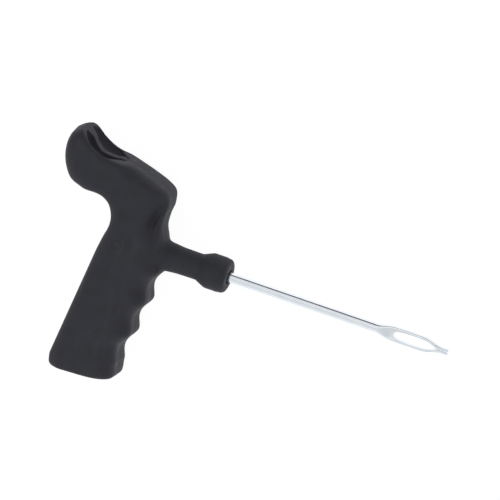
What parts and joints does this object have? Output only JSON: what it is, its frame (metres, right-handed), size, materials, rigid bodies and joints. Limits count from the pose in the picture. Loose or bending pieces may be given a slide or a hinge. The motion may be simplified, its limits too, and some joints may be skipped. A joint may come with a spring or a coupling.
{
  "type": "tyre plug insertion tool",
  "caption": "Pistol-grip hand tool with finger grooves, a thumb rest horn and a split-eye steel needle that pushes a repair plug into a tyre.",
  "frame": {"origin": "under the centre of the bounding box, on the surface the tool lies on", "axes": "+X along the needle to its tip, +Y towards the thumb horn, +Z through the thickness of the grip"},
  "size_m": [0.216, 0.1234, 0.026],
  "materials": {
    "black_plastic": "moulded black plastic with a fine satin grain",
    "plated_steel": "bright nickel-plated steel, lightly drawn along its length"
  },
  "bodies": {
    "root": {"handle": "black_plastic", "needle": "plated_steel"}
  },
  "joints": []
}
